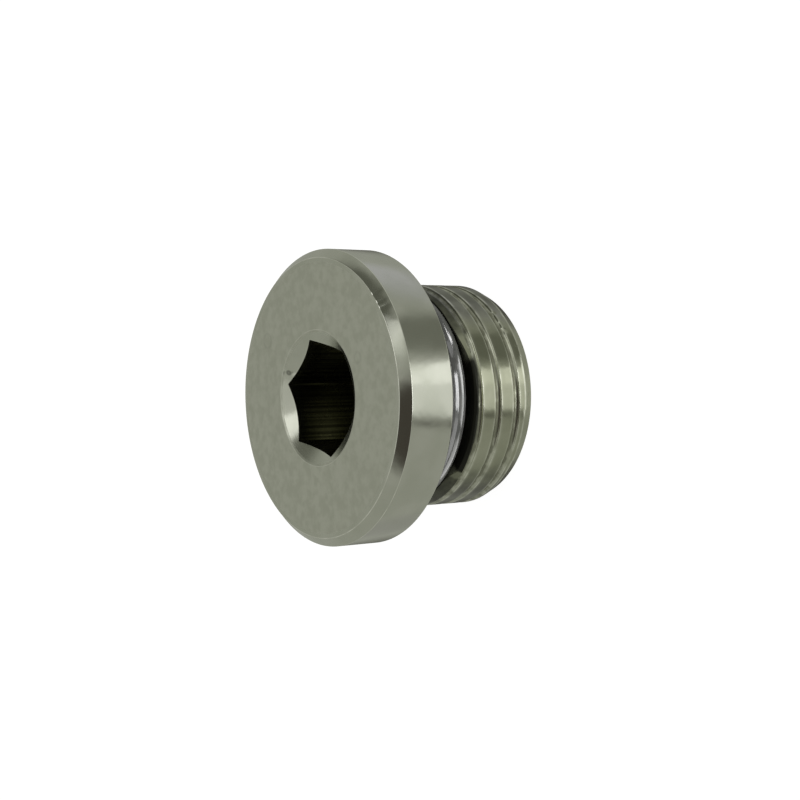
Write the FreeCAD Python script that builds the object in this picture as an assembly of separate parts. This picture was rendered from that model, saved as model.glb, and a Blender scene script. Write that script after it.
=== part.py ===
# Hex socket plug with a captive seal ring.
# The plug stands on the end of its thread, with the head and its hexagon socket on top.
# The origin is the centre of the thread's end face, and +Z runs out of the socket.
import FreeCAD, Part
import math
import os

# Head
head_diameter = 17.0
head_thickness = 3.5
face_chamfer = 0.5
back_chamfer = 0.3

# Hexagon socket
hex_across_flats = 6.05
hex_depth = 5.2
countersink_diameter = 7.8
countersink_angle = 120.0
pilot_diameter = 5.7
pilot_depth_past_hex = 0.3
drill_point_angle = 118.0

# Seal ring and the neck that holds it
ring_inner_diameter = 9.2
ring_section = 2.0
ring_below_head = 1.65
ring_bore_clearance = 0.03
neck_width = 2.96
neck_corner_radius = 0.2
run_up_angle = 45.0
run_up_depth = 0.26

# Threaded shank
shank_length = 7.2
thread_diameter = 13.157
thread_pitch = 1.337
thread_angle = 55.0
groove_width = 0.42
root_radius = 0.09
crest_edge_break = 0.06
groove_phase = 251.0
end_chamfer_depth = 0.3
end_chamfer_length = 0.7

# What follows from the sizes above
overall_length = shank_length + head_thickness
head_radius = head_diameter / 2
thread_radius = thread_diameter / 2
neck_radius = ring_inner_diameter / 2 - ring_bore_clearance
neck_end = shank_length - neck_width
crest_start = neck_end - run_up_depth / math.tan(math.radians(run_up_angle))
ring_centre_radius = (ring_inner_diameter + ring_section) / 2
ring_height = shank_length - ring_below_head

# How far the cutting shapes stand out of the metal that they cut
cut_margin = 0.5
edge_overshoot = 3 * crest_edge_break

AXIS = FreeCAD.Vector(0, 0, 1)
ORIGIN = FreeCAD.Vector(0, 0, 0)
FULL_TURN = 360
HEX_SIDES = 6
SAME_PLACE = 1e-6


def at(radius, height):
    """A point of a profile, in the plane that is turned about the axis."""
    return FreeCAD.Vector(radius, 0, height)


def turned(points):
    """The solid that a closed outline of radii and heights makes when it is turned."""
    outline = Part.makePolygon(points + [points[0]])
    return Part.Solid(Part.Face(outline).revolve(ORIGIN, AXIS, FULL_TURN))


def corner_edges(shape, radius, height):
    """The circular edges of a shape with this radius at this height."""
    found = []
    for edge in shape.Edges:
        curve = edge.Curve
        if not isinstance(curve, Part.Circle):
            continue
        same_radius = abs(curve.Radius - radius) < SAME_PLACE
        same_height = abs(curve.Center.z - height) < SAME_PLACE
        if same_radius and same_height:
            found.append(edge)
    return found


def turned_blank():
    """Head, neck and plain shank as they leave the lathe, before the socket and the thread."""
    blank = turned([
        at(0, 0),
        at(thread_radius - end_chamfer_depth, 0),
        at(thread_radius, end_chamfer_length),
        at(thread_radius, crest_start),
        at(thread_radius - run_up_depth, neck_end),
        at(neck_radius, neck_end),
        at(neck_radius, shank_length),
        at(head_radius - back_chamfer, shank_length),
        at(head_radius, shank_length + back_chamfer),
        at(head_radius, overall_length - face_chamfer),
        at(head_radius - face_chamfer, overall_length),
        at(0, overall_length),
    ])
    corners = corner_edges(blank, neck_radius, neck_end)
    corners += corner_edges(blank, neck_radius, shank_length)
    return blank.makeFillet(neck_corner_radius, corners).Solids[0]


def hexagon_socket():
    """What the key fits: countersink, six-sided hole, drilled end and its point."""
    side_angle = 2 * math.pi / HEX_SIDES
    corner_radius = hex_across_flats / 2 / math.cos(side_angle / 2)
    top = overall_length + cut_margin
    hex_floor = overall_length - hex_depth
    corners = [
        FreeCAD.Vector(
            corner_radius * math.cos(side_angle * side),
            corner_radius * math.sin(side_angle * side),
            hex_floor,
        )
        for side in range(HEX_SIDES)
    ]
    hexagon = Part.Face(Part.makePolygon(corners + [corners[0]]))
    sides = hexagon.extrude(AXIS * (top - hex_floor))

    half_sink = math.radians(countersink_angle / 2)
    sink_radius = countersink_diameter / 2
    sink_depth = sink_radius / math.tan(half_sink)
    sink_top_radius = sink_radius + cut_margin * math.tan(half_sink)
    countersink = turned([
        at(0, overall_length - sink_depth),
        at(sink_top_radius, top),
        at(0, top),
    ])

    pilot_radius = pilot_diameter / 2
    pilot_floor = hex_floor - pilot_depth_past_hex
    point_depth = pilot_radius / math.tan(math.radians(drill_point_angle / 2))
    pilot = turned([
        at(0, pilot_floor - point_depth),
        at(pilot_radius, pilot_floor),
        at(pilot_radius, hex_floor + cut_margin),
        at(0, hex_floor + cut_margin),
    ])
    return sides.fuse([countersink, pilot])


def groove_outline():
    """The thread groove's section: a rounded root, two flanks and a broken edge at each crest."""
    half_angle = math.radians(thread_angle / 2)
    half_width = groove_width / 2
    sharp_depth = half_width / math.tan(half_angle)
    root_centre = thread_radius - sharp_depth + root_radius / math.sin(half_angle)
    root_side = at(
        root_centre - root_radius * math.sin(half_angle),
        root_radius * math.cos(half_angle),
    )
    root_bottom = at(root_centre - root_radius, 0)
    flank_top = at(
        thread_radius - crest_edge_break * math.cos(half_angle),
        half_width - crest_edge_break * math.sin(half_angle),
    )
    crest_side = at(thread_radius, half_width + crest_edge_break)
    break_direction = (crest_side - flank_top).normalize()
    beyond_crest = crest_side + break_direction * edge_overshoot

    def mirrored(point):
        return FreeCAD.Vector(point.x, 0, -point.z)

    return Part.Wire([
        Part.LineSegment(beyond_crest, flank_top).toShape(),
        Part.LineSegment(flank_top, root_side).toShape(),
        Part.Arc(root_side, root_bottom, mirrored(root_side)).toShape(),
        Part.LineSegment(mirrored(root_side), mirrored(flank_top)).toShape(),
        Part.LineSegment(mirrored(flank_top), mirrored(beyond_crest)).toShape(),
        Part.LineSegment(mirrored(beyond_crest), beyond_crest).toShape(),
    ])


def thread_groove():
    """The right-hand helical groove, from below the end face up into the neck's free space."""
    start = -thread_pitch
    turns_length = neck_end + thread_pitch / 2 - start
    helix = Part.makeLongHelix(thread_pitch, turns_length, thread_radius)
    helix.translate(FreeCAD.Vector(0, 0, start))
    section = groove_outline()
    section.translate(FreeCAD.Vector(0, 0, start))
    sweep = Part.BRepOffsetAPI.MakePipeShell(Part.Wire(helix.Edges))
    sweep.setBiNormalMode(AXIS)
    sweep.add(section)
    sweep.build()
    sweep.makeSolid()
    groove = sweep.shape()
    groove.rotate(ORIGIN, AXIS, groove_phase)
    return groove


def plug_body():
    """The one turned, broached and threaded piece."""
    return turned_blank().cut([hexagon_socket(), thread_groove()]).Solids[0]


def seal_ring():
    """The round-section ring in the neck, just clear of its bottom."""
    return Part.makeTorus(ring_centre_radius, ring_section / 2, FreeCAD.Vector(0, 0, ring_height))


os.makedirs("parts", exist_ok=True)
for name, solid in (("plug_body", plug_body()), ("seal_ring", seal_ring())):
    solid.exportStep(os.path.join("parts", name + ".step"))
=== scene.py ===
import logging
import math
from dataclasses import dataclass, field
from enum import Enum

import bmesh
import bpy
import numpy as np
from mathutils import Matrix, Vector


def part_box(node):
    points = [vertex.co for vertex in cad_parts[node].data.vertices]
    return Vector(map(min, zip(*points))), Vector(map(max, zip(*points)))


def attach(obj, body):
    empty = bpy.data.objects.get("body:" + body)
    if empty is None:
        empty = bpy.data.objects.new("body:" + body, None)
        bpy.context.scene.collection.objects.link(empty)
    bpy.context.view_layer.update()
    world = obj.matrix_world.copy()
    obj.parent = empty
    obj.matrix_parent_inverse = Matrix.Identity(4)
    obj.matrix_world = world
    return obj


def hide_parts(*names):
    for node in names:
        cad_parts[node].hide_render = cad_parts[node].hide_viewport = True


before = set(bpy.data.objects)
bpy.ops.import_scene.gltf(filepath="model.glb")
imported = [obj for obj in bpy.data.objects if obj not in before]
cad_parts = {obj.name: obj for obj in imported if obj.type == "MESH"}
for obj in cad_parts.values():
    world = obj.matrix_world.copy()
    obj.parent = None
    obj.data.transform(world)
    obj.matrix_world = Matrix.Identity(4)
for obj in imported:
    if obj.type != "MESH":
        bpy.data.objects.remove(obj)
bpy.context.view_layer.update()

LOG = logging.getLogger("plug")
MM = 0.001
PHOTO_PIXELS = 800
SENSOR_WIDTH = 36.0
WHITE = (1.0, 1.0, 1.0)
Colour = tuple[float, float, float]
Socket = bpy.types.NodeSocket


def node_box_mm(node: str) -> tuple[Vector, Vector]:
    """Read a CAD node's corners at rest.

    Args:
        node: The node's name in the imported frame.

    Returns:
        Its lowest and highest corners, in millimetres.
    """
    low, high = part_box(node)
    return Vector(low) / MM, Vector(high) / MM


def put_in_scene(name: str, data: bpy.types.ID) -> bpy.types.Object:
    """Make an object of a mesh, camera or light and link it to the scene.

    Args:
        name: The object's name.
        data: What it holds.

    Returns:
        The object.
    """
    holder = bpy.data.objects.new(name, data)
    bpy.context.scene.collection.objects.link(holder)
    return holder


def placed(axes: tuple[Vector, Vector, Vector], place: Vector) -> Matrix:
    """The matrix that turns an object's axes to the given ones and moves it to a place."""
    return Matrix.Translation(place) @ Matrix(axes).transposed().to_4x4()


# Node groups and finishes

class NodeSheet:
    """A short way to place and join the nodes of one tree."""

    def __init__(self, tree: bpy.types.NodeTree) -> None:
        """Take a tree to work on."""
        self.tree = tree

    def add(self, kind: str, settings: dict | None = None, **inputs: object) -> bpy.types.Node:
        """Place a node.

        Args:
            kind: The node's type, without the leading "ShaderNode".
            settings: Properties of the node itself.
            **inputs: Values or sockets for its inputs, with _ for a space in their names.

        Returns:
            The node.
        """
        node = self.tree.nodes.new("ShaderNode" + kind)
        for name, value in (settings or {}).items():
            setattr(node, name, value)
        for name, value in inputs.items():
            self.feed(node.inputs[name.replace("_", " ")], value)
        return node

    def feed(self, target: Socket, value: object) -> None:
        """Set a socket, or link another socket to it.

        Args:
            target: The socket.
            value: Another socket, a number, a vector, or a colour without its alpha, which is 1.
        """
        if isinstance(value, Socket):
            self.tree.links.new(value, target)
        elif target.type == "RGBA":
            target.default_value = (*value, 1)
        else:
            target.default_value = value

    def math(self, operation: str, *values: Socket | float) -> Socket:
        """Do arithmetic.

        Args:
            operation: What to do with the values.
            *values: One, two or three values.

        Returns:
            The result.
        """
        node = self.add("Math", {"operation": operation})
        for socket, value in zip(node.inputs, values):
            self.feed(socket, value)
        return node.outputs[0]

    def spread(self, value: Socket, low: float, high: float,
               to_low: float = 0.0, to_high: float = 1.0) -> Socket:
        """Map a value smoothly from one range to another and clamp it there.

        Args:
            value: The value.
            low: Where the result starts to change.
            high: Where it stops.
            to_low: The result up to low.
            to_high: The result from high on.

        Returns:
            The result.
        """
        node = self.add("MapRange", {"interpolation_type": "SMOOTHSTEP"})
        for socket, number in zip(node.inputs, (value, low, high, to_low, to_high)):
            self.feed(socket, number)
        return node.outputs[0]

    def blend(self, share: Socket, first: Socket | Colour, second: Socket | Colour) -> Socket:
        """Mix two colours.

        Args:
            share: How much of the second colour shows, from 0 to 1.
            first: The first colour.
            second: The second colour.

        Returns:
            The mixed colour.
        """
        node = self.add("Mix", {"data_type": "RGBA"})
        # The colours come after the numbers and vectors, whose sockets have the same names.
        for index, value in ((0, share), (6, first), (7, second)):
            self.feed(node.inputs[index], value)
        return node.outputs[2]

    def noise(self, where: Socket, scale: float | Socket, detail: float = 2.0) -> Socket:
        """The value of soft noise at a place."""
        return self.add("TexNoise", Vector=where, Scale=scale, Detail=detail).outputs["Fac"]

    def place(self) -> Socket:
        """The place on the piece, in metres."""
        return self.add("TexCoord").outputs["Object"]

    def coordinates(self) -> tuple[Socket, Socket, Socket]:
        """The three coordinates of the place on the piece, in metres."""
        parts = self.add("SeparateXYZ", Vector=self.place()).outputs
        return parts["X"], parts["Y"], parts["Z"]

    def length(self, first: Socket, second: Socket) -> Socket:
        """The length of a step whose two legs stand square to each other."""
        square = self.math("MULTIPLY", first, first)
        return self.math("SQRT", self.math("MULTIPLY_ADD", second, second, square))

    def along(self, way: Socket, axis: Vector) -> Socket:
        """How far a direction goes along an axis.

        Args:
            way: The direction.
            axis: The axis; a longer one gives more.

        Returns:
            Their dot product.
        """
        node = self.add("VectorMath", {"operation": "DOT_PRODUCT"})
        self.feed(node.inputs[0], way)
        self.feed(node.inputs[1], axis)
        return node.outputs["Value"]

    def mark(self, name: str) -> Socket:
        """One of the marks that the mesh carries on its points, from 0 to 1."""
        return self.add("Attribute", {"attribute_name": name}).outputs["Fac"]

    def effect(self, group: bpy.types.NodeTree, **inputs: object) -> bpy.types.bpy_prop_collection:
        """Place a node group with its inputs and give its outputs."""
        return self.add("Group", {"node_tree": group}, **inputs).outputs

    def bump(self, shader: bpy.types.Node, height: Socket) -> None:
        """Tilt a shader's normals as a height in metres would."""
        node = self.add("Bump", Height=height, Strength=1.0, Distance=1.0)
        self.feed(shader.inputs["Normal"], node.outputs["Normal"])


def new_material(name: str) -> tuple[bpy.types.Material, NodeSheet, bpy.types.Node]:
    """Start a material.

    Args:
        name: The material's name.

    Returns:
        The material, a sheet on its tree and its Principled BSDF.
    """
    material = bpy.data.materials.new(name)
    material.use_nodes = True
    return material, NodeSheet(material.node_tree), material.node_tree.nodes["Principled BSDF"]


class EffectGroup(NodeSheet):
    """A shader node group of number sockets: given holds its inputs and result its outputs."""

    def __init__(self, name: str, inputs: dict[str, float], outputs: list[str]) -> None:
        """Start the group.

        Args:
            name: The group's name.
            inputs: Each input's name and its usual value.
            outputs: The outputs' names.
        """
        super().__init__(bpy.data.node_groups.new(name, "ShaderNodeTree"))
        sockets = self.tree.interface
        for label, value in inputs.items():
            socket = sockets.new_socket(label, in_out="INPUT", socket_type="NodeSocketFloat")
            socket.default_value = value
        for label in outputs:
            sockets.new_socket(label, in_out="OUTPUT", socket_type="NodeSocketFloat")
        self.given = self.tree.nodes.new("NodeGroupInput").outputs
        self.result = self.tree.nodes.new("NodeGroupOutput").inputs


class SharedEffects:
    """The node groups that more than one finish uses, each built once."""

    def __init__(self) -> None:
        """Build every group."""
        self.cloud = self.build_cloud()
        self.tool_marks = self.build_tool_marks()
        self.edge_wear_and_glint = self.build_edge_wear_and_glint()
        self.painted_shade = self.build_painted_shade()

    def build_cloud(self) -> bpy.types.NodeTree:
        """Make the clouds in a plated or moulded skin: large soft patches and fine grain.

        Returns:
            The group's tree.
        """
        group = EffectGroup("skin_cloud", {"Patches per metre": 400.0, "Grain per metre": 9000.0},
                            ["Patch", "Grain"])
        where = group.place()
        patches = group.noise(where, group.given["Patches per metre"], detail=3.0)
        group.feed(group.result["Patch"], group.spread(patches, low=0.3, high=0.7))
        group.feed(group.result["Grain"], group.noise(where, group.given["Grain per metre"]))
        return group.tree

    def build_tool_marks(self) -> bpy.types.NodeTree:
        """Make the fine lines that a tool leaves, from the distance across them in metres.

        Returns:
            The group's tree.
        """
        group = EffectGroup("tool_marks", {"Across": 0.0, "Lines per metre": 20000.0}, ["Height"])
        line = group.math("MULTIPLY", group.given["Across"], group.given["Lines per metre"])
        fine = group.add("TexNoise", {"noise_dimensions": "1D"}, W=line, Scale=1.0, Detail=3.0)
        group.feed(group.result["Height"], fine.outputs["Fac"])
        return group.tree

    def build_edge_wear_and_glint(self) -> bpy.types.NodeTree:
        """Mask the edges whose colour is partly wear and partly a painted highlight: the mesh's
        edge marks, broken up by noise.

        Returns:
            The group's tree.
        """
        group = EffectGroup("edge_wear_and_glint", {"Breaks per metre": 1500.0}, ["Wear"])
        breaks = group.noise(group.place(), group.given["Breaks per metre"])
        rubbed = group.spread(breaks, low=0.3, high=0.65, to_low=0.35)
        group.feed(group.result["Wear"], group.math("MULTIPLY", group.mark("edge"), rubbed))
        return group.tree

    def build_painted_shade(self) -> bpy.types.NodeTree:
        """Mask the painted shade in the thread's groove and the painted shade beside the neck.

        Returns:
            The group's tree.
        """
        share_in_neck_shade = 0.4
        group = EffectGroup("painted_shade", {"Breaks per metre": 1800.0}, ["Grime", "Neck shade"])
        breaks = group.noise(group.place(), group.given["Breaks per metre"])
        uneven = group.spread(breaks, low=0.3, high=0.7, to_low=-0.15, to_high=0.15)
        deep = group.math("ADD", group.mark("recess"), uneven)
        group.feed(group.result["Grime"], group.spread(deep, low=0.5, high=1.0))
        patchy = group.math("MULTIPLY_ADD", uneven, share_in_neck_shade, group.mark("neck_shade"))
        group.feed(group.result["Neck shade"], group.spread(patchy, low=0.1, high=0.8))
        return group.tree


class Lay(Enum):
    """Which way the tool marks of a finish run."""

    ROUND_THE_FACE = "radial distance"
    ROUND_THE_SIDE = "height"
    ALONG_THE_AXIS = "angle"


@dataclass(frozen=True)
class Stain:
    """A ring-shaped stain on a level face: middle and radius in millimetres, and strength."""

    x: float
    y: float
    radius: float
    strength: float


@dataclass(frozen=True)
class NickelFinish:
    """One stretch of nickel plate, with the surface that lay under it.

    The skin changes between light and dark in patches, or in streaks. wear_and_glint is worn colour
    brightened into a painted highlight on rubbed edges, groove_shade is painted shade in the
    thread's groove and neck_shade painted shade beside the neck. side_shade is how much of dark the
    painted shade leaves on the two sides that side_shade_way points to and from, which face up and
    down in the camera's view; 1 leaves them as they are. A span is where an effect starts and where
    it is full. Depths, widths and radii are in millimetres.
    """

    name: str
    light: Colour
    dark: Colour
    wear_and_glint: Colour
    roughness: float
    roughness_play: float
    lay: Lay
    lines_per_metre: float
    line_depth: float
    ripple_per_metre: float
    ripple_depth: float
    patches_per_metre: float = 450.0
    streaky: bool = False
    streak_span: tuple[float, float] = (0.36, 0.64)
    hole_radius: float = 3.0
    worn_roughness: float = 0.3
    groove_shade: Colour = (0.29, 0.295, 0.225)
    neck_shade: Colour = (0.040, 0.041, 0.034)
    roughness_under_shade: float = 0.5
    side_shade: float = 1.0
    side_shade_way: tuple[float, float] = (-0.9636, 0.2672)
    side_shade_span: tuple[float, float] = (0.52, 0.86)
    side_shade_play: float = 0.3
    side_shade_breaks_per_metre: float = 900.0
    stains: tuple[Stain, ...] = ()
    stain_shade: float = 0.35
    stain_core_width: float = 0.02
    stain_edge_width: float = 0.12

    def across_lines(self, sheet: NodeSheet) -> Socket:
        """Measure across the tool marks.

        Args:
            sheet: The material's sheet.

        Returns:
            The distance, in metres.
        """
        x, y, z = sheet.coordinates()
        if self.lay is Lay.ROUND_THE_SIDE:
            return z
        if self.lay is Lay.ROUND_THE_FACE:
            return sheet.length(x, y)
        return sheet.math("MULTIPLY", sheet.math("ARCTAN2", y, x), self.hole_radius * MM)

    def side_shading(self, sheet: NodeSheet) -> Socket:
        """Mask the painted shade on the two sides of the plug that face up and down in the camera's
        view.

        Args:
            sheet: The material's sheet.

        Returns:
            How much painted shade there is, from 0 to 1.
        """
        x, y, _ = sheet.coordinates()
        first, second = self.side_shade_way
        toward = sheet.math("MULTIPLY_ADD", x, first, sheet.math("MULTIPLY", y, second))
        share = sheet.math("ABSOLUTE", sheet.math("DIVIDE", toward, sheet.length(x, y)))
        breaks = sheet.noise(sheet.place(), self.side_shade_breaks_per_metre, detail=3.0)
        uneven = sheet.math("MULTIPLY_ADD", breaks, self.side_shade_play, -self.side_shade_play / 2)
        return sheet.spread(sheet.math("ADD", share, uneven), *self.side_shade_span)

    def stained(self, sheet: NodeSheet, skin: Socket) -> Socket:
        """Darken the skin along each stain.

        Args:
            sheet: The material's sheet.
            skin: The colour so far.

        Returns:
            The colour with the stains.
        """
        x, y, _ = sheet.coordinates()
        core = self.stain_core_width * MM
        edge = self.stain_edge_width * MM
        shade = tuple(self.stain_shade * value for value in self.dark)
        for stain in self.stains:
            aside = sheet.math("SUBTRACT", x, stain.x * MM)
            ahead = sheet.math("SUBTRACT", y, stain.y * MM)
            outside = sheet.math("SUBTRACT", sheet.length(aside, ahead), stain.radius * MM)
            from_line = sheet.math("ABSOLUTE", outside)
            share = sheet.spread(from_line, core, edge, to_low=stain.strength, to_high=0.0)
            skin = sheet.blend(share, skin, shade)
        return skin

    def build(self, shared: SharedEffects) -> bpy.types.Material:
        """Make the material.

        Args:
            shared: The node groups that all finishes use.

        Returns:
            The material.
        """
        material, sheet, shader = new_material(self.name)
        patch = sheet.effect(shared.cloud, Patches_per_metre=self.patches_per_metre)["Patch"]
        wear_glint = sheet.effect(shared.edge_wear_and_glint)["Wear"]
        painted_shades = sheet.effect(shared.painted_shade)
        lines = sheet.effect(shared.tool_marks, Across=self.across_lines(sheet),
                             Lines_per_metre=self.lines_per_metre)["Height"]

        shades = sheet.spread(lines, *self.streak_span) if self.streaky else patch
        skin = self.stained(sheet, sheet.blend(shades, self.dark, self.light))
        # Painted shade: two opposite sides of the piece, which face up and down in the camera's
        # view, are darkened.
        if self.side_shade < 1:
            dull = tuple(self.side_shade * value for value in self.dark)
            skin = sheet.blend(self.side_shading(sheet), skin, dull)
        # Painted highlight: rubbed edges take a colour brighter than the plate, partly real wear.
        glinting = sheet.blend(wear_glint, skin, self.wear_and_glint)
        # Painted shade: the thread's groove is darkened by its depth.
        shaded = sheet.blend(painted_shades["Grime"], glinting, self.groove_shade)
        # Painted shade: the plate beside the neck is darkened, and roughened with it.
        sheet.feed(shader.inputs["Base Color"], sheet.blend(painted_shades["Neck shade"], shaded, self.neck_shade))

        smooth = self.roughness
        rough = sheet.spread(patch, 0.0, 1.0, to_low=smooth + self.roughness_play, to_high=smooth)
        rubbed = sheet.math("MULTIPLY", wear_glint, self.worn_roughness)
        shaded_roughness = sheet.math("MAXIMUM", painted_shades["Grime"], painted_shades["Neck shade"])
        shaded_roughness = sheet.math("MULTIPLY", shaded_roughness, self.roughness_under_shade)
        rough = sheet.math("MAXIMUM", sheet.math("MAXIMUM", rough, rubbed), shaded_roughness)
        sheet.feed(shader.inputs["Roughness"], rough)
        shader.inputs["Metallic"].default_value = 1.0

        fine = sheet.math("MULTIPLY", lines, self.line_depth * MM)
        ripple = sheet.noise(sheet.place(), self.ripple_per_metre, detail=1.0)
        sheet.bump(shader, sheet.math("MULTIPLY_ADD", ripple, self.ripple_depth * MM, fine))
        return material


@dataclass(frozen=True)
class RubberFinish:
    """Black moulded rubber, smooth under a thin film of oil from film_from_mm up and dull below.

    grain_depth is in millimetres.
    """

    name: str = "oiled_black_rubber"
    colour: Colour = (0.0240, 0.0244, 0.0230)
    dusty: Colour = (0.0400, 0.0406, 0.0380)
    patches_per_metre: float = 900.0
    roughness: float = 0.09
    roughness_play: float = 0.07
    dull_roughness: float = 0.7
    specular_level: float = 0.3
    film_from_mm: float = 4.75
    film_to_mm: float = 5.1
    grain_depth: float = 0.0016

    def build(self, shared: SharedEffects) -> bpy.types.Material:
        """Make the material.

        Args:
            shared: The node groups that all finishes use.

        Returns:
            The material.
        """
        material, sheet, shader = new_material(self.name)
        cloud = sheet.effect(shared.cloud, Patches_per_metre=self.patches_per_metre)
        patch = cloud["Patch"]
        sheet.feed(shader.inputs["Base Color"], sheet.blend(patch, self.colour, self.dusty))
        _, _, height = sheet.coordinates()
        film = sheet.spread(height, self.film_from_mm * MM, self.film_to_mm * MM)
        smooth = self.roughness
        patchy = sheet.spread(patch, 0.0, 1.0, to_low=smooth, to_high=smooth + self.roughness_play)
        dull = sheet.math("MULTIPLY", sheet.math("SUBTRACT", 1.0, film), self.dull_roughness)
        sheet.feed(shader.inputs["Roughness"], sheet.math("MAXIMUM", patchy, dull))
        shader.inputs["Specular IOR Level"].default_value = self.specular_level
        sheet.bump(shader, sheet.math("MULTIPLY", cloud["Grain"], self.grain_depth * MM))
        return material


# Turned outlines

@dataclass(frozen=True)
class Corner:
    """One corner of a turned outline: radius, height and the radius that breaks its edge."""

    radius: float
    height: float
    rounding: float = 0.0


def corner_arc(before: np.ndarray, here: np.ndarray, after: np.ndarray,
               rounding: float, steps: int) -> np.ndarray:
    """Replace a corner between two straight runs by an arc.

    Args:
        before: The point that the outline comes from.
        here: The corner.
        after: The point that the outline goes to.
        rounding: The arc's radius.
        steps: How many chords make the arc.

    Returns:
        The arc's points, steps + 1 of them, in the outline's order.
    """
    back = (before - here) / np.linalg.norm(before - here)
    ahead = (after - here) / np.linalg.norm(after - here)
    half = math.acos(float(np.clip(back @ ahead, -1, 1))) / 2
    reach = rounding / math.tan(half)
    middle = (back + ahead) / np.linalg.norm(back + ahead)
    centre = here + middle * (rounding / math.sin(half))
    first = (here + back * reach - centre) / rounding
    last = (here + ahead * reach - centre) / rounding
    sweep = math.pi - 2 * half
    shares = np.linspace(0, 1, steps + 1)[:, None]
    blend = np.sin((1 - shares) * sweep) * first + np.sin(shares * sweep) * last
    return centre + rounding * blend / math.sin(sweep)


def outline_points(corners: list[Corner], steps: int) -> tuple[np.ndarray, np.ndarray]:
    """Round every inner corner of an outline.

    Args:
        corners: The outline, from its first point to its last.
        steps: How many chords make each rounded corner.

    Returns:
        The points as rows of radius and height, and for each point 1 on an edge or 0 beside it.
    """
    places = [np.array([corner.radius, corner.height]) for corner in corners]
    points, edges = [places[0]], [0.0]
    for index in range(1, len(corners) - 1):
        rounding = corners[index].rounding
        if rounding <= 0:
            points.append(places[index])
            edges.append(0.0)
            continue
        arc = corner_arc(places[index - 1], places[index], places[index + 1], rounding, steps)
        points.extend(arc)
        edges.extend(math.sin(math.pi * step / steps) for step in range(steps + 1))
    points.append(places[-1])
    edges.append(0.0)
    return np.array(points), np.array(edges)


class Zone(Enum):
    """The stretches of the plug with finishes of their own; the value is a material slot."""

    FACE = 0
    RIM = 1
    THREAD = 2
    SOCKET = 3
    SINK = 4


@dataclass
class Band:
    """Neighbouring rows of the plug's surface, each a ring of points round the axis.

    edge says how near a point is to the middle of a rounded edge, recess how deep it lies in the
    thread's groove and neck_shade how much painted shade it gets beside the neck; all go from 0 to
    1.
    """

    zone: Zone
    radius: np.ndarray
    height: np.ndarray
    edge: np.ndarray
    recess: np.ndarray | float = 0.0
    neck_shade: np.ndarray | float = 0.0


@dataclass(frozen=True)
class Nick:
    """A knock in an edge.

    angle is in degrees round the axis, radius and height say where it is, size and depth how
    large it is, and push which way it goes, outwards and upwards.
    """

    angle: float
    radius: float
    height: float
    size: float
    depth: float
    push: tuple[float, float] = (-1.0, -0.6)


@dataclass(frozen=True)
class ThreadForm:
    """The right-hand thread: narrow V grooves between wide, flat crests.

    root_rounding rounds the groove's root, and upper_rounding and lower_rounding the upper and
    the lower edge of each crest. At phase_degrees round the axis the middle of a groove passes
    the end face. steps is how many chords make a rounding, and crest_parts how many rows make
    half a crest.
    """

    crest_radius: float
    pitch: float = 1.337
    groove_width: float = 0.42
    flank_degrees: float = 27.5
    root_rounding: float = 0.2
    upper_rounding: float = 0.06
    lower_rounding: float = 0.1
    phase_degrees: float = 251.0
    steps: int = 4
    crest_parts: int = 4

    @property
    def groove_depth(self) -> float:
        """How deep the groove's rounded root lies under the crests."""
        flank = math.radians(self.flank_degrees)
        sharp_depth = self.groove_width / 2 / math.tan(flank)
        return sharp_depth - self.root_rounding * (1 / math.sin(flank) - 1)

    def section(self) -> tuple[np.ndarray, np.ndarray]:
        """Draw one pitch of the thread, from the middle of a crest to the middle of the next.

        Returns:
            Rows of radius and offset along the axis from the groove's middle, and the edge marks.
        """
        half = self.groove_width / 2
        sharp_root = self.crest_radius - half / math.tan(math.radians(self.flank_degrees))
        points, edges = outline_points([
            Corner(self.crest_radius, -self.pitch / 2),
            Corner(self.crest_radius, -half, self.upper_rounding),
            Corner(sharp_root, 0.0, self.root_rounding),
            Corner(self.crest_radius, half, self.lower_rounding),
            Corner(self.crest_radius, self.pitch / 2),
        ], self.steps)
        shares = np.arange(1, self.crest_parts)[:, None] / self.crest_parts
        first = points[0] + (points[1] - points[0]) * shares
        last = points[-2] + (points[-1] - points[-2]) * shares
        flat = np.zeros(self.crest_parts - 1)
        points = np.vstack([points[:1], first, points[1:-1], last, points[-1:]])
        edges = np.concatenate([edges[:1], flat, edges[1:-1], flat, edges[-1:]])
        return points, edges

    def groove_height(self, turn: np.ndarray) -> np.ndarray:
        """Height of a groove's middle at each angle, in turns about the axis."""
        return self.pitch * (turn - self.phase_degrees / 360)

    def radius_at(self, turn: np.ndarray, height: np.ndarray) -> np.ndarray:
        """Find the surface of the endless thread.

        Args:
            turn: The angle of each place, in turns about the axis.
            height: Its height.

        Returns:
            The thread's radius there.
        """
        points, _ = self.section()
        away = height - self.groove_height(turn)
        away = (away + self.pitch / 2) % self.pitch - self.pitch / 2
        return np.interp(away, points[:, 1], points[:, 0])

    def from_lip(self, turn: np.ndarray, height: np.ndarray) -> np.ndarray:
        """Measure along the axis to the nearest lip of a groove.

        Args:
            turn: The angle of each place, in turns about the axis.
            height: Its height.

        Returns:
            The distance to the lip.
        """
        away = (height - self.groove_height(turn)) % self.pitch
        half = self.groove_width / 2
        return np.minimum(np.abs(away - half), np.abs(self.pitch - half - away))


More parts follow.
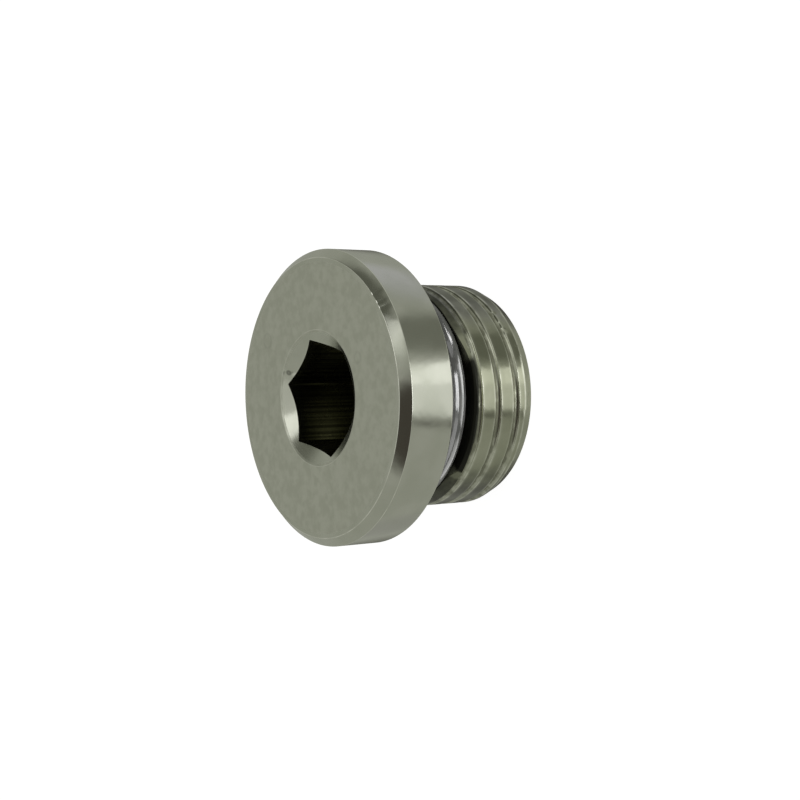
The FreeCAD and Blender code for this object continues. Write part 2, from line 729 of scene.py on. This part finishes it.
@dataclass
class PlugBody:
    """The turned, broached and threaded piece, which stands for its CAD solid.

    The last crest runs out over the neck by run_out_shares of run_out_rise at run_out_degrees. The
    plate there gets painted shade, as strong as neck_shade_strengths where that share is
    neck_shade_shares. The shade comes in over neck_shade_fade at the crest's end; on the neck's
    lower wall it starts unshaded_foot out from the neck, and is full foot_fade further out.
    lip_wear_and_glint and mouth_wear_and_glint say how rubbed the grooves' lips and the hexagon's
    mouth are, and so how much worn colour and painted highlight they get. The face's finish ends
    face_ends_in inside the countersink's edge, and the countersink's own starts sink_starts_in
    inside it.
    """

    columns: int = 480
    arc_steps: int = 4
    face_chamfer: float = 0.5
    face_rounding: float = 0.102
    back_chamfer: float = 0.3
    head_thickness: float = 3.5
    hex_across_flats: float = 6.05
    hex_corner_rounding: float = 0.12
    hex_depth: float = 5.2
    countersink_diameter: float = 7.8
    countersink_degrees: float = 120.0
    face_ends_in: float = 0.12
    sink_starts_in: float = 0.13
    pilot_diameter: float = 5.7
    pilot_depth_past_hex: float = 0.3
    drill_point_degrees: float = 118.0
    neck_clearance: float = 0.03
    neck_width: float = 2.96
    neck_corner: float = 0.2
    run_up_depth: float = 0.26
    run_out_rise: float = 0.5
    run_out_degrees: tuple[float, ...] = (150, 185, 203, 213, 266, 296, 340, 380)
    run_out_shares: tuple[float, ...] = (0, 1, 1, 0, 0, 1, 1, 0)
    end_chamfer_depth: float = 0.3
    end_chamfer_length: float = 0.7
    thread_diameter: float = 13.157
    sharp_edge: float = 0.06
    lip_width: float = 0.16
    lip_wear_and_glint: float = 0.7
    mouth_wear_and_glint: float = 0.6
    neck_shade_shares: tuple[float, ...] = (0.0, 0.25, 0.6, 0.8)
    neck_shade_strengths: tuple[float, ...] = (1.0, 0.0, 0.0, 0.5)
    neck_shade_fade: float = 0.08
    unshaded_foot: float = 0.5
    foot_fade: float = 0.5
    finishes: dict[Zone, NickelFinish] = field(default_factory=dict)
    nicks: list[Nick] = field(default_factory=list)

    def __post_init__(self) -> None:
        """Take what the frame gives: the head's size, the height and the neck round the ring."""
        low, high = node_box_mm("plug_body")
        ring_low, ring_high = node_box_mm("seal_ring")
        self.top = high.z
        self.head_radius = high.x
        self.shoulder = self.top - self.head_thickness
        section = ring_high.z - ring_low.z
        self.neck_radius = ring_high.x - section - self.neck_clearance
        self.neck_end = self.shoulder - self.neck_width
        self.thread_radius = self.thread_diameter / 2
        self.sink_radius = self.countersink_diameter / 2
        self.sink_slope = math.tan(math.radians(90 - self.countersink_degrees / 2))
        self.crest_end = self.neck_end - self.run_up_depth
        self.thread = ThreadForm(self.thread_radius)
        self.turn = np.linspace(0, 1, self.columns + 1)
        self.blank, self.blank_edges = outline_points(self.shank_outline(), self.arc_steps)
        self.stretch = 1 + self.run_out() / self.run_up_depth

    def rings(self, zone: Zone, points: np.ndarray, edges: np.ndarray) -> Band:
        """Turn points into full rings.

        Args:
            zone: The finish that the band gets.
            points: Rows of radius and height, in millimetres.
            edges: The edge mark of each point.

        Returns:
            The band, with one row for each point.
        """
        around = np.ones((1, self.columns + 1))
        return Band(zone, points[:, :1] * around, points[:, 1:] * around, edges[:, None] * around)

    def band(self, zone: Zone, corners: list[Corner]) -> Band:
        """Turn an outline with rounded corners into full rings of one finish."""
        return self.rings(zone, *outline_points(corners, self.arc_steps))

    def shank_outline(self) -> list[Corner]:
        """The plain shank's outline before the thread is cut, from the end face to the neck."""
        return [
            Corner(0.0, 0.0),
            Corner(self.thread_radius - self.end_chamfer_depth, 0.0, self.sharp_edge),
            Corner(self.thread_radius, self.end_chamfer_length, self.sharp_edge),
            Corner(self.thread_radius, self.crest_end, self.sharp_edge),
            Corner(self.thread_radius - self.run_up_depth, self.neck_end, self.sharp_edge),
            Corner(self.neck_radius, self.neck_end, self.neck_corner),
            Corner(self.neck_radius, self.shoulder),
        ]

    def run_out(self) -> np.ndarray:
        """How far the last crest runs out over the neck's wall at each angle, in millimetres."""
        share = np.interp(self.turn * 360, self.run_out_degrees, self.run_out_shares, period=360)
        return self.run_out_rise * share * share * (3 - 2 * share)

    def oil(self) -> np.ndarray:
        """How much painted shade the shank gets beside the neck at each angle, from 0 to 1."""
        return np.interp(self.run_out() / self.run_out_rise, self.neck_shade_shares, self.neck_shade_strengths)

    def end_face(self) -> Band:
        """Turn the end face, out to where the thread's rows start."""
        rows = self.blank[:, 1] < self.sharp_edge
        return self.rings(Zone.THREAD, self.blank[rows], self.blank_edges[rows])

    def helix_rows(self, low: float, high: np.ndarray) -> tuple[np.ndarray, np.ndarray]:
        """Lay rows along the helix, so that the thread's edges stay crisp.

        Args:
            low: The height that no row goes below.
            high: The height that none goes above, for each column.

        Returns:
            The rows' heights and their edge marks.
        """
        section, edges = self.thread.section()
        pitch = self.thread.pitch
        # A turn more at both ends, so that the rows reach low and high at every angle.
        turns = range(int(low / pitch) - 1, int(high.max() / pitch) + 3)
        offsets = np.concatenate([section[:-1, 1] + turn * pitch for turn in turns])
        height = self.thread.groove_height(self.turn) + offsets[:, None]
        inside = (height > low) & (height < high)
        height = np.clip(height, low, high)
        for level in (self.end_chamfer_length, self.crest_end):
            nearest = np.abs(height - level).argmin(axis=0)
            height[nearest, np.arange(self.columns + 1)] = level
        corners = np.tile(edges[:-1], len(turns))[:, None]
        # The grooves' lips get edge marks, for worn colour and a painted highlight.
        near = np.clip(1 - self.thread.from_lip(self.turn, height) / self.lip_width, 0, 1)
        return height, np.maximum(corners, self.lip_wear_and_glint * near) * inside

    def threaded_side(self) -> Band:
        """Cut the thread into the shank's side, between the end face and the neck.

        The run-up to the last crest is drawn out where the crest runs out over the neck.

        Returns:
            The thread with its chamfers.
        """
        high = self.crest_end + (self.run_up_depth - self.sharp_edge) * self.stretch
        height, thread_edge = self.helix_rows(self.sharp_edge, high)
        above = np.maximum(height - self.crest_end, 0)
        blank_height = height - above + above / self.stretch
        side = self.blank[:, 1] > 0
        plain = np.interp(blank_height, self.blank[side, 1], self.blank[side, 0])
        plain_edge = np.interp(blank_height, self.blank[side, 1], self.blank_edges[side])
        cut = self.thread.radius_at(self.turn, height)
        edge = np.where(cut <= plain, thread_edge, plain_edge)
        # recess sets how much painted shade the groove gets.
        recess = np.clip((plain - cut) / self.thread.groove_depth, 0, 1)
        # Painted shade beside the neck starts at the crest's end.
        past_crest = height - self.crest_end + self.neck_shade_fade / 2
        neck_shade = np.clip(past_crest / self.neck_shade_fade, 0, 1) * self.oil()
        return Band(Zone.THREAD, np.minimum(plain, cut), height, edge, recess, neck_shade)

    def neck_foot(self) -> Band:
        """Turn the neck's lower wall and bottom, drawn up where the last crest runs out.

        Returns:
            The wall, with painted shade on its outside.
        """
        height = self.blank[:, 1]
        rows = (height > self.neck_end - self.sharp_edge) & (height < self.shoulder)
        radius = self.blank[rows, :1]
        height = self.blank[rows, 1:]
        middle = (self.neck_radius + self.thread_radius) / 2
        wall_edge = self.thread_radius - self.run_up_depth - self.sharp_edge
        drawn = np.clip((radius - middle) / (wall_edge - middle), 0, 1)
        height = height + (height - self.crest_end) * (self.stretch - 1) * drawn
        # Painted shade on the neck's lower wall grows outwards.
        outwards = radius - self.neck_radius - self.unshaded_foot
        neck_shade = np.clip(outwards / self.foot_fade, 0, 1) * self.oil()
        none = np.zeros_like(height)
        return Band(Zone.THREAD, radius + none, height, none, neck_shade=neck_shade)

    def head(self) -> list[Band]:
        """Turn the head.

        Returns:
            The neck's upper corner with the underside, the rim, and the face with the top of the
            countersink.
        """
        # The rim's finish goes on for half a chamfer's width past each of its two chamfers.
        rim_starts = self.head_radius - 1.5 * self.back_chamfer
        rim_ends = self.head_radius - 1.5 * self.face_chamfer
        cone_in = self.face_ends_in
        underside = self.band(Zone.THREAD, [
            Corner(self.neck_radius, self.shoulder - 2 * self.neck_corner),
            Corner(self.neck_radius, self.shoulder, self.neck_corner),
            Corner(rim_starts - self.back_chamfer / 2, self.shoulder),
        ])
        rim = self.band(Zone.RIM, [
            Corner(rim_starts, self.shoulder),
            Corner(self.head_radius - self.back_chamfer, self.shoulder, self.sharp_edge),
            Corner(self.head_radius, self.shoulder + self.back_chamfer, self.sharp_edge),
            Corner(self.head_radius, self.top - self.face_chamfer, self.sharp_edge),
            Corner(self.head_radius - self.face_chamfer, self.top, self.face_rounding),
            Corner(rim_ends, self.top),
        ])
        face = self.band(Zone.FACE, [
            Corner(rim_ends - self.face_chamfer / 10, self.top),
            Corner((self.head_radius + self.sink_radius) / 2, self.top),
            Corner(self.sink_radius, self.top, self.sharp_edge),
            Corner(self.sink_radius - cone_in, self.top - cone_in * self.sink_slope),
        ])
        return [underside, rim, face]

    def hex_radius(self) -> np.ndarray:
        """Shape the hexagonal hole, with its corners slightly rounded.

        Returns:
            Its radius at each column.
        """
        apothem = self.hex_across_flats / 2
        sixth = math.pi / 3
        angle = 2 * math.pi * self.turn
        from_corner = np.abs((angle + sixth / 2) % sixth - sixth / 2)
        flat = apothem / np.cos(sixth / 2 - from_corner)
        small = self.hex_corner_rounding
        centre = (apothem - small) / math.cos(sixth / 2)
        reach = np.sqrt(np.maximum(small ** 2 - (centre * np.sin(from_corner)) ** 2, 0))
        rounded = centre * np.cos(from_corner) + reach
        limit = math.atan2(small * math.sin(sixth / 2), centre + small * math.cos(sixth / 2))
        return np.where(from_corner < limit, rounded, flat)

    def socket(self) -> list[Band]:
        """Sink the cone into the hexagon, and take the hexagon down to the drilled pilot.

        Returns:
            The countersink, its edge, the six flats and the pilot.
        """
        start = self.sink_radius - self.sink_starts_in
        cone_shares = np.linspace(0.0, 0.9, 10)
        wall_shares = (0.12, 0.4, 0.7, 1.0)
        slope = self.sink_slope
        hole = self.hex_radius()
        mouth = self.top - (self.sink_radius - hole) * slope
        floor = self.top - self.hex_depth
        lip = self.sharp_edge / 2
        arc = corner_arc(np.array([1.0, slope]), np.zeros(2), np.array([0.0, -1.0]),
                         lip, self.arc_steps)
        reaches = [start + (hole - start) * share for share in cone_shares]
        cone = [(reach, self.top - (self.sink_radius - reach) * slope) for reach in reaches]
        edge = [(hole + out, mouth + rise) for out, rise in arc]
        walls = [(hole, mouth + (floor - mouth) * share) for share in wall_shares]
        bands = []
        for zone, rows, wear_glint in ((Zone.SINK, cone, 0.0), (Zone.SINK, edge, self.mouth_wear_and_glint),
                                 (Zone.SOCKET, walls, 0.0)):
            radius = np.array([row[0] for row in rows])
            height = np.array([row[1] for row in rows])
            bands.append(Band(zone, radius, height, np.full(radius.shape, wear_glint)))
        pilot_radius = self.pilot_diameter / 2
        pilot_floor = floor - self.pilot_depth_past_hex
        point = pilot_radius / math.tan(math.radians(self.drill_point_degrees / 2))
        pilot = self.band(Zone.SOCKET, [
            Corner(pilot_radius + 2 * lip, floor),
            Corner(pilot_radius, floor, lip),
            Corner(pilot_radius, pilot_floor, lip),
            Corner(0.0, pilot_floor - point),
        ])
        return bands + [pilot]

    def knock(self, places: np.ndarray) -> np.ndarray:
        """Press the nicks into the surface.

        Args:
            places: Points in millimetres, one to a row.

        Returns:
            The points, pushed near each nick.
        """
        places = places.copy()
        for nick in self.nicks:
            angle = math.radians(nick.angle)
            outward = np.array([math.cos(angle), math.sin(angle), 0.0])
            upward = np.array([0.0, 0.0, 1.0])
            away = places - nick.radius * outward - nick.height * upward
            share = np.exp(-(np.linalg.norm(away, axis=1) / nick.size) ** 2)
            push = nick.push[0] * outward + nick.push[1] * upward
            places += share[:, None] * nick.depth * push
        return places

    def build(self) -> bpy.types.Object:
        """Make the plug's mesh.

        Returns:
            The new object, whose faces carry each zone's material index for the materials still to
            add.
        """
        shank = [self.end_face(), self.threaded_side(), self.neck_foot()]
        bands = shank + self.head() + self.socket()
        radius = np.vstack([band.radius for band in bands])
        height = np.vstack([band.height for band in bands])
        edge = np.vstack([band.edge for band in bands])
        recess = np.vstack([band.recess * np.ones_like(band.radius) for band in bands])
        neck_shade = np.vstack([band.neck_shade * np.ones_like(band.radius) for band in bands])
        zones = np.concatenate([np.full(len(band.radius), band.zone.value) for band in bands])
        angle = 2 * np.pi * self.turn[None, :]
        places = np.stack([radius * np.cos(angle), radius * np.sin(angle), height], axis=-1)
        places = self.knock(places.reshape(-1, 3)) * MM

        rows, columns = radius.shape
        corner = np.arange(rows - 1)[:, None] * columns + np.arange(columns - 1)[None, :]
        quads = np.stack([corner, corner + 1, corner + columns + 1, corner + columns], axis=-1)
        mesh = bpy.data.meshes.new("plated_plug")
        mesh.from_pydata(places.tolist(), [], quads.reshape(-1, 4).tolist())
        slots = np.repeat(zones[1:], columns - 1).astype(np.int32)
        mesh.polygons.foreach_set("material_index", slots)
        for label, values in (("edge", edge), ("recess", recess), ("neck_shade", neck_shade)):
            mark = mesh.attributes.new(label, "FLOAT", "POINT")
            mark.data.foreach_set("value", values.reshape(-1).astype(np.float32))
        return finish_mesh("plated_plug", mesh)

    def dress(self, body: bpy.types.Object, shared: SharedEffects) -> None:
        """Plate the plug and take it into the frame.

        Args:
            body: The plug.
            shared: The node groups that all finishes use.
        """
        for zone in Zone:
            body.data.materials.append(self.finishes[zone].build(shared))
        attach(body, "root")
        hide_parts("plug_body")


def finish_mesh(name: str, mesh: bpy.types.Mesh) -> bpy.types.Object:
    """Weld a mesh, turn its faces outwards and shade it smooth.

    Args:
        name: The new object's name.
        mesh: The mesh, whose coincident points become one.

    Returns:
        The object that holds the mesh.
    """
    weld_distance = 2e-7
    crease = math.radians(42)
    face_weight = 50
    work = bmesh.new()
    work.from_mesh(mesh)
    bmesh.ops.remove_doubles(work, verts=work.verts, dist=weld_distance)
    bmesh.ops.dissolve_degenerate(work, edges=work.edges, dist=weld_distance)
    bmesh.ops.recalc_face_normals(work, faces=work.faces)
    work.to_mesh(mesh)
    work.free()
    mesh.polygons.foreach_set("use_smooth", [True] * len(mesh.polygons))
    mesh.set_sharp_from_angle(angle=crease)
    piece = put_in_scene(name, mesh)
    shading = piece.modifiers.new("even_shading", "WEIGHTED_NORMAL")
    shading.keep_sharp = True
    shading.weight = face_weight
    return piece


@dataclass
class SealRing:
    """The moulded O-ring, with the faint flash line that its mould leaves round the outside."""

    columns: int = 420
    section_points: int = 72
    flash_height: float = 0.02
    flash_width: float = 0.06
    finish: RubberFinish = RubberFinish()

    def build(self) -> bpy.types.Object:
        """Make the ring's mesh in its CAD solid's place.

        Returns:
            The ring object.
        """
        low, high = node_box_mm("seal_ring")
        section = (high.z - low.z) / 2
        middle = high.x - section
        centre = (high.z + low.z) / 2
        around = np.linspace(0, 2 * np.pi, self.columns, endpoint=False)[:, None]
        across = np.linspace(0, 2 * np.pi, self.section_points, endpoint=False)[None, :]
        flash = np.exp(-(section * np.minimum(across, 2 * np.pi - across) / self.flash_width) ** 2)
        reach = section - self.flash_height + self.flash_height * flash
        radius = middle + reach * np.cos(across)
        height = centre + reach * np.sin(across)
        places = np.stack([radius * np.cos(around), radius * np.sin(around),
                           height * np.ones_like(around)], axis=-1) * MM
        first = np.arange(self.columns)[:, None]
        second = np.arange(self.section_points)[None, :]
        next_first = (first + 1) % self.columns
        next_second = (second + 1) % self.section_points
        wide = self.section_points
        quads = np.stack([first * wide + second, next_first * wide + second,
                          next_first * wide + next_second, first * wide + next_second], axis=-1)
        mesh = bpy.data.meshes.new("rubber_ring")
        mesh.from_pydata(places.reshape(-1, 3).tolist(), [], quads.reshape(-1, 4).tolist())
        return finish_mesh("rubber_ring", mesh)

    def dress(self, ring: bpy.types.Object, shared: SharedEffects) -> None:
        """Give the ring its rubber and take it into the frame.

        Args:
            ring: The ring.
            shared: The node groups that all finishes use.
        """
        ring.data.materials.append(self.finish.build(shared))
        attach(ring, "root")
        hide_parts("seal_ring")


# Studio

@dataclass(frozen=True)
class Viewpoint:
    """Where the photograph was taken from, about a point near the plug's middle.

    Angles are in degrees. nearest and farthest bound what the camera sees, in metres.
    """

    target_mm: tuple[float, float, float] = (-0.3125, -0.1747, 5.0045)
    distance_mm: float = 91.25
    azimuth: float = -105.473
    elevation: float = 36.074
    roll: float = 91.744
    focal_pixels: float = 1545.75
    nearest: float = 0.001
    farthest: float = 10.0

    def target(self) -> Vector:
        """The point that the camera is aimed at, in metres."""
        return Vector(self.target_mm) * MM

    def axes(self) -> tuple[Vector, Vector, Vector]:
        """Find the camera's axes from its three angles.

        Returns:
            Its right, up and backward directions in the plug's frame.
        """
        azimuth, elevation, roll = (
            math.radians(angle) for angle in (self.azimuth, self.elevation, self.roll))
        back = Vector((math.cos(elevation) * math.cos(azimuth),
                       math.cos(elevation) * math.sin(azimuth), math.sin(elevation)))
        level_right = Vector((0, 0, 1)).cross(back).normalized()
        level_up = back.cross(level_right)
        up = level_up * math.cos(roll) + level_right * math.sin(roll)
        return up.cross(back), up, back

    def toward(self, side: float, rise: float) -> Vector:
        """Find a direction as the camera counts it.

        Args:
            side: Degrees about the camera's upright axis: 0 is straight behind it, 90 its right.
            rise: Degrees above the camera's level.

        Returns:
            A unit vector from the plug.
        """
        right, up, back = self.axes()
        side, rise = math.radians(side), math.radians(rise)
        level = back * math.cos(side) + right * math.sin(side)
        return level * math.cos(rise) + up * math.sin(rise)

    def square_to(self, side: float, rise: float) -> tuple[Vector, Vector, Vector]:
        """Find axes that face the plug from a direction.

        Args:
            side: The direction's degrees about the camera's upright axis.
            rise: Its degrees above the camera's level.

        Returns:
            The level, the upright and the outward axis.
        """
        outward = self.toward(side, rise)
        _, up, _ = self.axes()
        level = up.cross(outward).normalized()
        return level, outward.cross(level), outward

    def build(self) -> None:
        """Set up the camera."""
        camera = bpy.data.cameras.new("camera")
        camera.sensor_width = SENSOR_WIDTH
        camera.lens = self.focal_pixels * SENSOR_WIDTH / PHOTO_PIXELS
        camera.clip_start = self.nearest
        camera.clip_end = self.farthest
        holder = put_in_scene("camera", camera)
        axes = self.axes()
        holder.matrix_world = placed(axes, self.target() + axes[-1] * self.distance_mm * MM)
        bpy.context.scene.camera = holder


@dataclass(frozen=True)
class Softbox:
    """A rectangular light, placed by what the camera would call right and up.

    side, rise, width and height are degrees seen from the plug, and distance is in metres.
    """

    name: str
    side: float
    rise: float
    width: float
    height: float
    radiance: float
    distance: float = 0.45
    ring_only: bool = False

    def span(self, degrees: float) -> float:
        """How long a side of the light is, in metres, that is so many degrees wide."""
        return 2 * self.distance * math.tan(math.radians(degrees / 2))

    def build(self, view: Viewpoint, ring_parts: bpy.types.Collection) -> None:
        """Hang the light.

        Args:
            view: The viewpoint that its angles count from.
            ring_parts: The pieces that a light with ring_only falls on, and nothing else.
        """
        light = bpy.data.lights.new(self.name, "AREA")
        light.shape = "RECTANGLE"
        light.size = self.span(self.width)
        light.size_y = self.span(self.height)
        light.energy = self.radiance * math.pi * light.size * light.size_y
        holder = put_in_scene(self.name, light)
        axes = view.square_to(self.side, self.rise)
        holder.matrix_world = placed(axes, view.target() + axes[-1] * self.distance)
        holder.visible_camera = False
        if self.ring_only:
            holder.light_linking.receiver_collection = ring_parts


@dataclass(frozen=True)
class Patch:
    """An oval stretch of the room's walls with a light of its own.

    side and rise give its middle, half_width and half_height where it is half gone, all in degrees
    as the camera counts them; softness is the share of that over which it fades.
    """

    side: float
    rise: float
    half_width: float
    half_height: float
    softness: float
    radiance: Colour


@dataclass
class Studio:
    """The pale floor, the room and the soft lights.

    floor_size and floor_drop, how far the floor lies under the plug's end face, are in metres.
    """

    view: Viewpoint
    floor_size: float = 3.0
    floor_drop: float = 1e-5
    floor_colour: Colour = (0.3, 0.3, 0.3)
    floor_glow: float = 0.95
    room: Colour = (0.392, 0.400, 0.360)
    patches: list[Patch] = field(default_factory=list)
    softboxes: list[Softbox] = field(default_factory=list)

    def build_floor(self) -> None:
        """Lay the white sheet that the plug stands on."""
        half = self.floor_size / 2
        corners = [(x, y, -self.floor_drop)
                   for x, y in ((-half, -half), (half, -half), (half, half), (-half, half))]
        mesh = bpy.data.meshes.new("floor")
        mesh.from_pydata(corners, [], [(0, 1, 2, 3)])
        floor = put_in_scene("floor", mesh)
        paper, sheet, shader = new_material("white_sheet")
        for label, value in (("Base Color", self.floor_colour), ("Roughness", 1.0),
                             ("Specular IOR Level", 0.0), ("Emission Color", WHITE),
                             ("Emission Strength", self.floor_glow)):
            sheet.feed(shader.inputs[label], value)
        mesh.materials.append(paper)
        floor.visible_glossy = False
        floor.visible_diffuse = False
        floor.visible_shadow = False

    def patch_share(self, sheet: NodeSheet, way: Socket, patch: Patch) -> Socket:
        """How much of a patch shows in each direction.

        Args:
            sheet: The world's node sheet.
            way: The direction.
            patch: The patch.

        Returns:
            A value from 0 outside to 1 inside.
        """
        level, upright, outward = self.view.square_to(patch.side, patch.rise)
        aside = sheet.along(way, level / math.sin(math.radians(patch.half_width)))
        above = sheet.along(way, upright / math.sin(math.radians(patch.half_height)))
        inside = sheet.spread(sheet.length(aside, above), 1 - patch.softness, 1 + patch.softness,
                              to_low=1.0, to_high=0.0)
        front = sheet.math("GREATER_THAN", sheet.along(way, outward), 0.0)
        return sheet.math("MULTIPLY", inside, front)

    def build_room(self) -> None:
        """Shade the room by direction, white to the camera and grey in reflections."""
        world = bpy.data.worlds.new("room")
        bpy.context.scene.world = world
        world.use_nodes = True
        sheet = NodeSheet(world.node_tree)
        plain = world.node_tree.nodes["Background"]
        sheet.feed(plain.inputs["Color"], WHITE)
        way = sheet.add("TexCoord").outputs["Generated"]
        colour: Socket | Colour = self.room
        for patch in self.patches:
            colour = sheet.blend(self.patch_share(sheet, way, patch), colour, patch.radiance)
        room = sheet.add("Background", Color=colour)
        seen = sheet.add("LightPath").outputs["Is Camera Ray"]
        both = sheet.add("MixShader")
        for target, source in zip(both.inputs, (seen, room.outputs[0], plain.outputs[0])):
            sheet.feed(target, source)
        sheet.feed(world.node_tree.nodes["World Output"].inputs["Surface"], both.outputs[0])

    def build(self, ring: bpy.types.Object) -> None:
        """Set up everything round the plug.

        Args:
            ring: The rubber ring, which has lights of its own.
        """
        self.view.build()
        self.build_floor()
        self.build_room()
        ring_parts = bpy.data.collections.new("ring_parts")
        ring_parts.objects.link(ring)
        for softbox in self.softboxes:
            softbox.build(self.view, ring_parts)
        bpy.context.scene.view_settings.view_transform = "Standard"


# Values of this plug and its photograph

FINISHES = {
    # The worn colours are brighter than the plate: partly wear, partly a painted highlight on the
    # edges.
    Zone.FACE: NickelFinish(
        "nickel_face", light=(0.632, 0.643, 0.562), dark=(0.558, 0.571, 0.490),
        wear_and_glint=(0.92, 0.92, 0.84), roughness=0.30, roughness_play=0.06, lay=Lay.ROUND_THE_FACE,
        lines_per_metre=14000.0, line_depth=0.0006, ripple_per_metre=1500.0, ripple_depth=0.003,
        patches_per_metre=2000.0,
        stains=(Stain(4.76, 4.05, radius=0.42, strength=0.12),
                Stain(0.93, -4.66, radius=0.30, strength=0.10),
                Stain(2.38, 2.90, radius=0.06, strength=0.45))),
    Zone.RIM: NickelFinish(
        "nickel_rim", light=(0.625, 0.635, 0.560), dark=(0.560, 0.575, 0.495),
        wear_and_glint=(0.92, 0.92, 0.84), roughness=0.13, roughness_play=0.08, lay=Lay.ROUND_THE_SIDE,
        lines_per_metre=12000.0, line_depth=0.0004, ripple_per_metre=1600.0, ripple_depth=0.005),
    # The thread gets painted shade on two opposite sides.
    Zone.THREAD: NickelFinish(
        "nickel_thread", light=(0.470, 0.482, 0.372), dark=(0.385, 0.398, 0.295),
        wear_and_glint=(0.80, 0.81, 0.70), roughness=0.12, roughness_play=0.08, lay=Lay.ROUND_THE_SIDE,
        lines_per_metre=12000.0, line_depth=0.0004, ripple_per_metre=1900.0, ripple_depth=0.006,
        side_shade=0.35),
    # The socket's light and dark are far darker than the rest of the plate: painted shade deep in
    # the hole.
    Zone.SOCKET: NickelFinish(
        "nickel_socket", light=(0.260, 0.260, 0.172), dark=(0.096, 0.096, 0.065),
        wear_and_glint=(0.45, 0.45, 0.38), roughness=0.22, roughness_play=0.10, lay=Lay.ALONG_THE_AXIS,
        lines_per_metre=6000.0, line_depth=0.002, ripple_per_metre=1500.0, ripple_depth=0.003,
        streaky=True),
    Zone.SINK: NickelFinish(
        "nickel_sink", light=(0.625, 0.635, 0.560), dark=(0.560, 0.575, 0.495),
        wear_and_glint=(0.74, 0.74, 0.66), roughness=0.17, roughness_play=0.06, lay=Lay.ROUND_THE_FACE,
        lines_per_metre=12000.0, line_depth=0.0006, ripple_per_metre=1600.0, ripple_depth=0.004,
        stains=(Stain(2.34, 2.68, radius=0.08, strength=0.75),)),
}

PATCHES = [
    Patch(side=-8, rise=-18.5, half_width=30, half_height=28, softness=0.22,
          radiance=(0.066, 0.059, 0.050)),
    Patch(side=-73, rise=45, half_width=33, half_height=17, softness=0.22,
          radiance=(0.120, 0.124, 0.102)),
    Patch(side=85, rise=38, half_width=20, half_height=12, softness=0.35,
          radiance=(0.185, 0.190, 0.162)),
    Patch(side=165, rise=0, half_width=24, half_height=26, softness=0.30,
          radiance=(0.120, 0.120, 0.100)),
    Patch(side=164, rise=-44, half_width=14, half_height=10, softness=0.30,
          radiance=(0.360, 0.362, 0.340)),
    Patch(side=150, rise=56, half_width=20, half_height=10, softness=0.40,
          radiance=(0.500, 0.500, 0.520)),
    Patch(side=78, rise=-15.6, half_width=18, half_height=2.2, softness=0.40,
          radiance=(0.150, 0.150, 0.130)),
]

SOFTBOXES = [
    Softbox("right_box", side=91, rise=5, width=62, height=33, radiance=0.46),
    Softbox("right_box_top", side=86, rise=15, width=50, height=13, radiance=0.30),
    Softbox("right_near_tube", side=50, rise=4, width=12, height=30, radiance=3.5),
    Softbox("ring_near_tube", side=60, rise=3.5, width=20, height=32, radiance=24, ring_only=True),
    Softbox("ring_far_tube", side=112, rise=11, width=22, height=19, radiance=8.0, ring_only=True),
    Softbox("ring_far_base", side=112, rise=-7, width=20, height=17, radiance=5.0, ring_only=True),
    Softbox("ring_near_low", side=64, rise=-42, width=24, height=46, radiance=5.5, ring_only=True),
    Softbox("ring_far_low", side=126, rise=-42, width=30, height=44, radiance=3.0, ring_only=True),
    Softbox("ring_near_high", side=66, rise=42, width=22, height=14, radiance=3.5, ring_only=True),
    Softbox("ring_far_high", side=108, rise=40, width=18, height=14, radiance=14.0, ring_only=True),
    Softbox("left_window", side=-55, rise=-1, width=30, height=30, radiance=0.17),
    Softbox("left_window_top", side=-60, rise=19, width=22, height=15, radiance=0.80),
    Softbox("high_lamp", side=-27, rise=31.5, width=18, height=19, radiance=0.50),
    Softbox("high_lamp_glow", side=-19, rise=13, width=16, height=14, radiance=0.06),
]

NICKS = [
    Nick(angle=46.0, radius=3.28, height=10.34, size=0.16, depth=0.035, push=(0.5, -0.9)),
    Nick(angle=297.6, radius=8.0, height=10.7, size=0.09, depth=0.05),
    Nick(angle=293.1, radius=8.0, height=10.7, size=0.07, depth=0.04),
    Nick(angle=290.4, radius=8.0, height=10.7, size=0.12, depth=0.03),
    Nick(angle=286.2, radius=8.35, height=10.35, size=0.07, depth=0.03),
    Nick(angle=-60.7, radius=6.58, height=1.32, size=0.13, depth=0.05),
    Nick(angle=-67.8, radius=6.58, height=1.29, size=0.08, depth=0.03),
    Nick(angle=-72.3, radius=6.58, height=1.27, size=0.10, depth=0.05),
    Nick(angle=-81.1, radius=6.58, height=0.80, size=0.10, depth=0.04),
    Nick(angle=-146.1, radius=6.58, height=2.72, size=0.14, depth=0.04),
    Nick(angle=-153.9, radius=6.58, height=2.69, size=0.10, depth=0.04),
    Nick(angle=-143.1, radius=6.58, height=1.40, size=0.12, depth=0.05),
    Nick(angle=-151.8, radius=6.58, height=1.37, size=0.09, depth=0.03),
]


def write_sizes() -> None:
    """Define a helper that turns a box's corners into lists; nothing is written."""
    def plain(box: tuple) -> list[list[float]]:
        """Turn a box's corners into lists."""
        return [[float(value) for value in corner] for corner in box]


def main() -> None:
    """Build the plug, its ring and the studio."""
    shared = SharedEffects()
    plug = PlugBody(finishes=FINISHES, nicks=NICKS)
    body = plug.build()
    plug.dress(body, shared)
    LOG.info("%s: %d faces", body.name, len(body.data.polygons))

    seal = SealRing()
    ring = seal.build()
    seal.dress(ring, shared)
    LOG.info("%s: %d faces", ring.name, len(ring.data.polygons))

    Studio(Viewpoint(), patches=PATCHES, softboxes=SOFTBOXES).build(ring)
    write_sizes()


if __name__ == "__main__":
    logging.basicConfig(level=logging.INFO)
    main()
